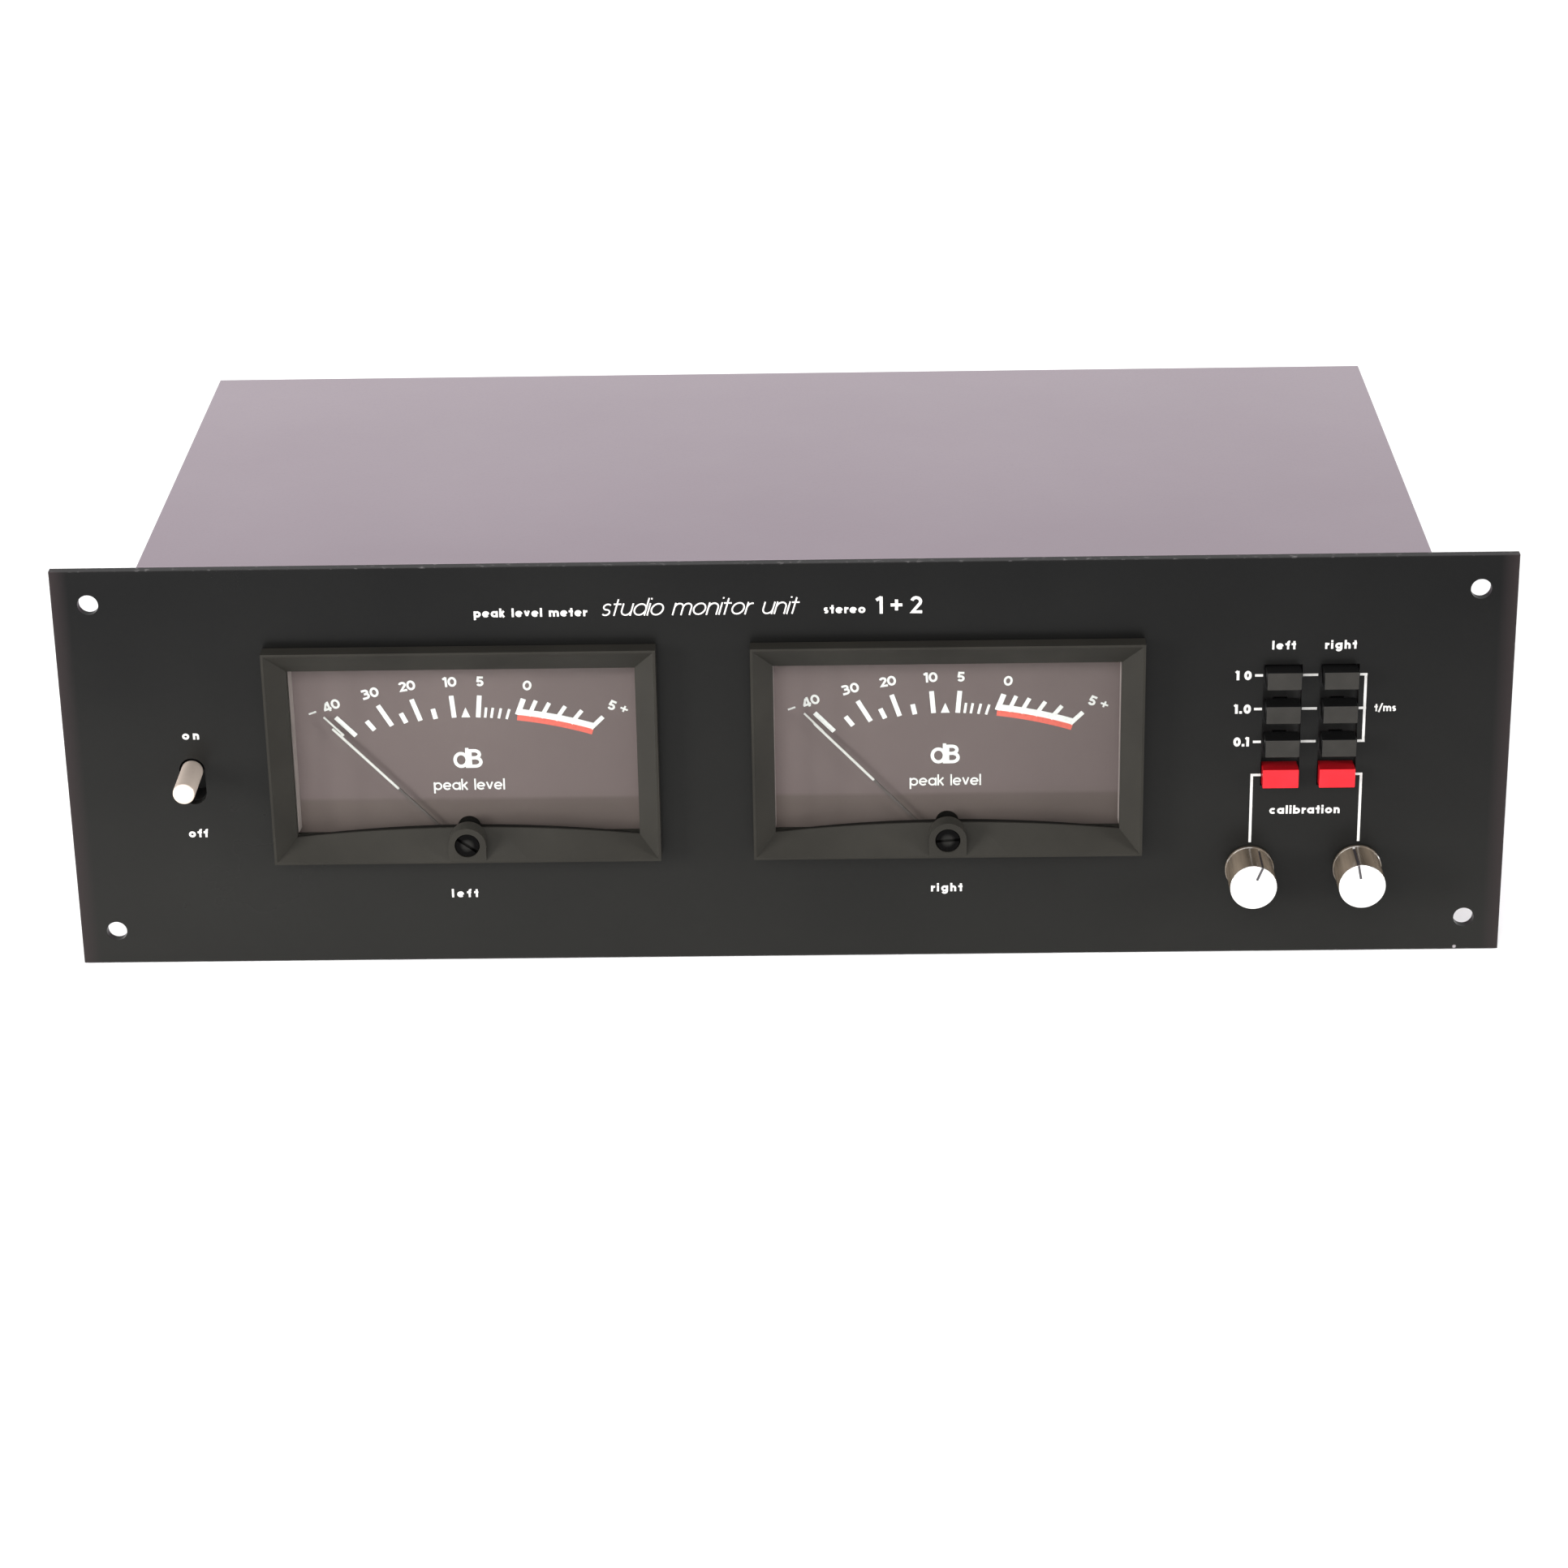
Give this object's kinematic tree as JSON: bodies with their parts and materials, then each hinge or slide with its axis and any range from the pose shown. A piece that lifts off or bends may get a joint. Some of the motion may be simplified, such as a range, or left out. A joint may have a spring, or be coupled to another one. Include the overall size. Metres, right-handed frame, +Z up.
{
  "type": "stereo peak level meter",
  "caption": "Rack-mounted audio level meter: black front panel with two moving-coil meters, slide switch, push buttons and calibration knobs on a shallow sheet-metal chassis.",
  "frame": {"origin": "middle of the footprint, level with the underside", "axes": "+X to the right seen from the front, +Y from the front panel to the rear, +Z up"},
  "size_m": [0.4896, 0.24, 0.1447],
  "materials": {
    "black_panel": "satin black paint with white legends",
    "cover_paint": "satin warm grey paint",
    "zinc_sheet": "plain zinc-plated sheet",
    "machine_steel": "nickel-plated steel",
    "meter_bezel_plastic": "semi-gloss black moulding",
    "meter_glass": "clear flat glass",
    "dial_plate": "matt dark grey with printed scale",
    "pointer_white": "white painted strip",
    "magnet_alloy": "plain cast magnet",
    "winding_copper": "enamelled copper wire",
    "black_plastic": "matt black moulding",
    "red_plastic": "semi-gloss red moulding",
    "knob_black": "high-gloss brown-black",
    "bright_aluminium": "spun bright face",
    "board_green": "green solder resist"
  },
  "bodies": {
    "chassis": {"front_panel": "black_panel", "top_cover": "cover_paint", "rear_panel": "cover_paint", "chassis_tray": "zinc_sheet", "left_panel_bracket": "zinc_sheet", "right_panel_bracket": "zinc_sheet", "left_front_cover_screw": "machine_steel", "left_rear_cover_screw": "machine_steel", "right_front_cover_screw": "machine_steel", "right_rear_cover_screw": "machine_steel", "left_calibration_pot": "machine_steel", "right_calibration_pot": "machine_steel", "left_input_socket": "machine_steel", "right_input_socket": "machine_steel", "transformer_core": "machine_steel", "left_meter_bezel": "meter_bezel_plastic", "right_meter_bezel": "meter_bezel_plastic", "left_meter_window": "meter_glass", "right_meter_window": "meter_glass", "left_meter_dial": "dial_plate", "right_meter_dial": "dial_plate", "left_meter_magnet": "magnet_alloy", "right_meter_magnet": "magnet_alloy", "transformer_winding": "winding_copper", "left_meter_case": "black_plastic", "right_meter_case": "black_plastic", "power_switch_body": "black_plastic", "left_button_bank": "black_plastic", "right_button_bank": "black_plastic", "left_amplifier_chip": "black_plastic", "right_amplifier_chip": "black_plastic", "mains_inlet": "black_plastic", "fuse_holder": "black_plastic", "first_filter_capacitor": "bright_aluminium", "second_filter_capacitor": "bright_aluminium", "circuit_board": "board_green"},
    "power_lever": {"power_switch_lever": "bright_aluminium"},
    "left_slow_key": {"left_slow_button": "black_plastic"},
    "left_medium_key": {"left_medium_button": "black_plastic"},
    "left_fast_key": {"left_fast_button": "black_plastic"},
    "left_calibrate_key": {"left_calibrate_button": "red_plastic"},
    "left_level_control": {"left_calibration_knob": "knob_black", "left_calibration_knob_cap": "bright_aluminium", "left_calibration_shaft": "machine_steel"},
    "left_movement": {"left_meter_pointer": "pointer_white", "left_meter_coil": "winding_copper"},
    "left_zero_adjuster": {"left_meter_zero_screw": "black_plastic"},
    "left_zero_lever": {"left_meter_zero_fork": "black_plastic"},
    "right_slow_key": {"right_slow_button": "black_plastic"},
    "right_medium_key": {"right_medium_button": "black_plastic"},
    "right_fast_key": {"right_fast_button": "black_plastic"},
    "right_calibrate_key": {"right_calibrate_button": "red_plastic"},
    "right_level_control": {"right_calibration_knob": "knob_black", "right_calibration_knob_cap": "bright_aluminium", "right_calibration_shaft": "machine_steel"},
    "right_movement": {"right_meter_pointer": "pointer_white", "right_meter_coil": "winding_copper"},
    "right_zero_adjuster": {"right_meter_zero_screw": "black_plastic"},
    "right_zero_lever": {"right_meter_zero_fork": "black_plastic"},
    "fuse_carrier": {"fuse_cap": "black_plastic"}
  },
  "joints": [
    {"name": "power_slide", "type": "slide", "parent": "chassis", "child": "power_lever", "axis": [0, 0, 1], "range_m": [-0.0078, 0]},
    {"name": "left_slow_press", "type": "slide", "parent": "chassis", "child": "left_slow_key", "axis": [0, 1, 0], "range_m": [0, 0.0035], "stiffness_N_per_m": 300},
    {"name": "left_medium_press", "type": "slide", "parent": "chassis", "child": "left_medium_key", "axis": [0, 1, 0], "range_m": [0, 0.0035], "stiffness_N_per_m": 300},
    {"name": "left_fast_press", "type": "slide", "parent": "chassis", "child": "left_fast_key", "axis": [0, 1, 0], "range_m": [0, 0.0035], "stiffness_N_per_m": 300},
    {"name": "left_calibrate_press", "type": "slide", "parent": "chassis", "child": "left_calibrate_key", "axis": [0, 1, 0], "range_m": [-0.0035, 0]},
    {"name": "left_level_turn", "type": "hinge", "parent": "chassis", "child": "left_level_control", "pos_m": [0.1582, -0.1, 0.0318], "axis": [0, 1, 0], "range_deg": [-172, 128]},
    {"name": "left_pointer_swing", "type": "hinge", "parent": "chassis", "child": "left_movement", "pos_m": [-0.109, -0.09, 0.037], "axis": [0, 1, 0], "range_deg": [0, 88], "stiffness_Nm_per_rad": 0.0003, "springref_deg": -17.19},
    {"name": "left_zero_turn", "type": "hinge", "parent": "chassis", "child": "left_zero_adjuster", "pos_m": [-0.109, -0.1, 0.0458], "axis": [0, 1, 0], "range_deg": [-30, 30]},
    {"name": "left_zero_lever_swing", "type": "hinge", "parent": "chassis", "child": "left_zero_lever", "pos_m": [-0.109, -0.095, 0.037], "axis": [0, 1, 0], "range_deg": [-3, 3]},
    {"name": "right_slow_press", "type": "slide", "parent": "chassis", "child": "right_slow_key", "axis": [0, 1, 0], "range_m": [0, 0.0035], "stiffness_N_per_m": 300},
    {"name": "right_medium_press", "type": "slide", "parent": "chassis", "child": "right_medium_key", "axis": [0, 1, 0], "range_m": [0, 0.0035], "stiffness_N_per_m": 300},
    {"name": "right_fast_press", "type": "slide", "parent": "chassis", "child": "right_fast_key", "axis": [0, 1, 0], "range_m": [0, 0.0035], "stiffness_N_per_m": 300},
    {"name": "right_calibrate_press", "type": "slide", "parent": "chassis", "child": "right_calibrate_key", "axis": [0, 1, 0], "range_m": [-0.0035, 0]},
    {"name": "right_level_turn", "type": "hinge", "parent": "chassis", "child": "right_level_control", "pos_m": [0.195, -0.1, 0.0318], "axis": [0, 1, 0], "range_deg": [-139.3, 160.7]},
    {"name": "right_pointer_swing", "type": "hinge", "parent": "chassis", "child": "right_movement", "pos_m": [0.0549, -0.09, 0.037], "axis": [0, 1, 0], "range_deg": [0, 88], "stiffness_Nm_per_rad": 0.0003, "springref_deg": -17.19},
    {"name": "right_zero_turn", "type": "hinge", "parent": "chassis", "child": "right_zero_adjuster", "pos_m": [0.0549, -0.1, 0.0458], "axis": [0, 1, 0], "range_deg": [-30, 30]},
    {"name": "right_zero_lever_swing", "type": "hinge", "parent": "chassis", "child": "right_zero_lever", "pos_m": [0.0549, -0.095, 0.037], "axis": [0, 1, 0], "range_deg": [-3, 3]},
    {"name": "fuse_carrier_pull", "type": "slide", "parent": "chassis", "child": "fuse_carrier", "axis": [0, 1, 0], "range_m": [0, 0.03]}
  ],
  "couplings": [
    {"joint": "left_zero_lever_swing", "follows": "left_zero_turn", "ratio": -0.1},
    {"joint": "right_zero_lever_swing", "follows": "right_zero_turn", "ratio": -0.1}
  ]
}
